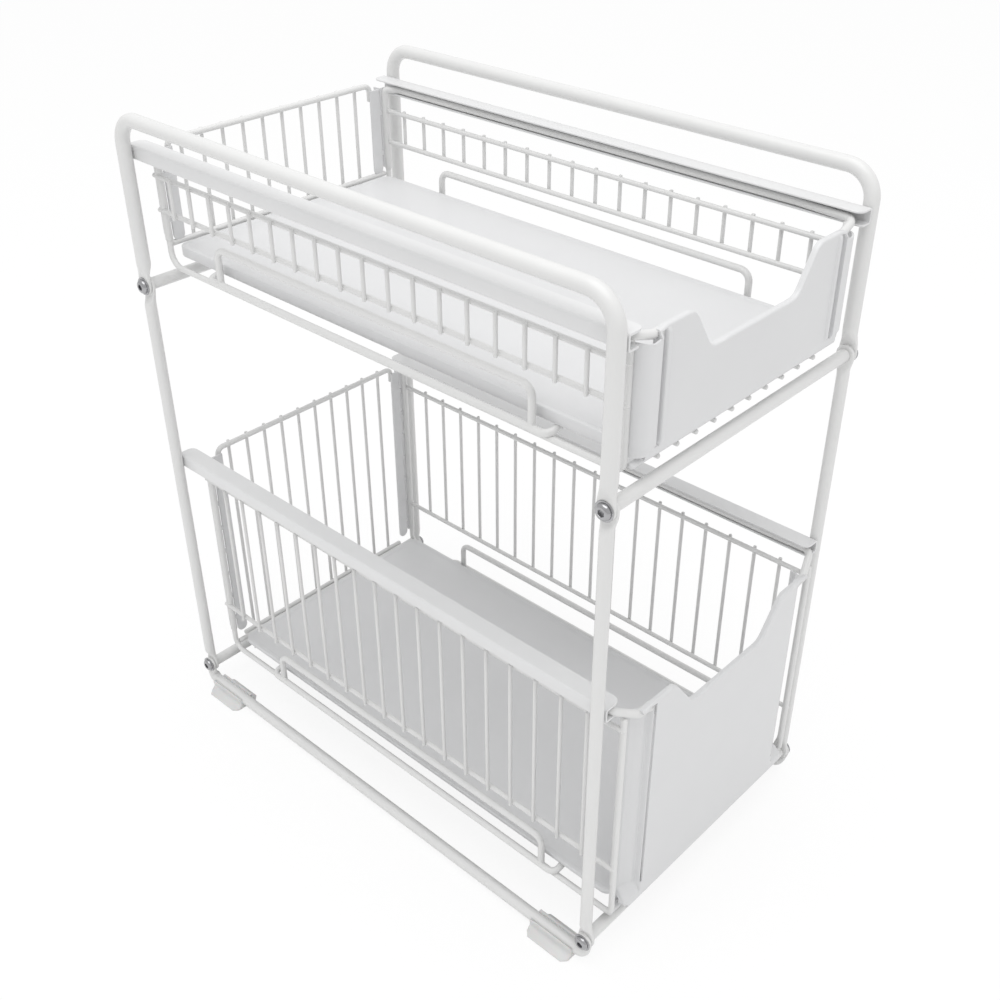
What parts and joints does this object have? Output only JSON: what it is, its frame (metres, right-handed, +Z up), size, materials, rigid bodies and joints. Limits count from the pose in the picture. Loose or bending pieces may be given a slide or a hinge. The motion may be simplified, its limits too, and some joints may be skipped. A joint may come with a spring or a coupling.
{
  "type": "cabinet organizer",
  "caption": "Tiered pull-out cabinet organizer: a white bolted tube frame with wire-and-sheet drawers sliding in folded C-rails, with guard wires, trays and notched fronts.",
  "frame": {"origin": "Middle of the footprint on the floor, under the feet", "axes": "+Z up; +Y to the back, so the drawers pull out along -Y; +X to the right as seen from the front"},
  "size_m": [0.2566, 0.4134, 0.4756],
  "materials": {
    "frame_paint": "satin powder coat",
    "rail_paint": "satin powder coat",
    "wire_paint": "satin powder coat",
    "sheet_paint": "satin powder coat",
    "bolt_chrome": "polished",
    "insert_steel": "zinc plated",
    "foot_plastic": "translucent matte"
  },
  "bodies": {
    "frame": {"top_frame_left": "frame_paint", "top_frame_right": "frame_paint", "post_front_left": "frame_paint", "post_front_right": "frame_paint", "post_rear_left": "frame_paint", "post_rear_right": "frame_paint", "base_frame_left": "frame_paint", "base_frame_right": "frame_paint", "mid_crossbar_front": "frame_paint", "mid_crossbar_rear": "frame_paint", "base_crossbar_front": "frame_paint", "base_crossbar_rear": "frame_paint", "crossbar_inserts": "insert_steel", "mid_bolts": "bolt_chrome", "base_bolts": "bolt_chrome", "foot_front_left": "foot_plastic", "foot_front_right": "foot_plastic", "foot_rear_left": "foot_plastic", "foot_rear_right": "foot_plastic", "upper_rail_left": "rail_paint", "upper_rail_right": "rail_paint", "lower_rail_left": "rail_paint", "lower_rail_right": "rail_paint"},
    "upper_basket": {"upper_side_left": "wire_paint", "upper_side_right": "wire_paint", "upper_guard_left": "wire_paint", "upper_guard_right": "wire_paint", "upper_back_panel": "wire_paint", "upper_floor_grid": "wire_paint", "upper_tray": "sheet_paint", "upper_front_panel": "sheet_paint", "upper_front_corner_left": "sheet_paint", "upper_front_corner_right": "sheet_paint", "upper_rear_corner_left": "sheet_paint", "upper_rear_corner_right": "sheet_paint"},
    "lower_basket": {"lower_side_left": "wire_paint", "lower_side_right": "wire_paint", "lower_guard_left": "wire_paint", "lower_guard_right": "wire_paint", "lower_back_panel": "wire_paint", "lower_floor_grid": "wire_paint", "lower_tray": "sheet_paint", "lower_front_panel": "sheet_paint", "lower_front_corner_left": "sheet_paint", "lower_front_corner_right": "sheet_paint", "lower_rear_corner_left": "sheet_paint", "lower_rear_corner_right": "sheet_paint"}
  },
  "joints": [
    {"name": "upper_slide", "type": "slide", "parent": "frame", "child": "upper_basket", "axis": [0, -1, 0], "range_m": [0, 0.27]},
    {"name": "lower_slide", "type": "slide", "parent": "frame", "child": "lower_basket", "axis": [0, -1, 0], "range_m": [0, 0.27]}
  ]
}
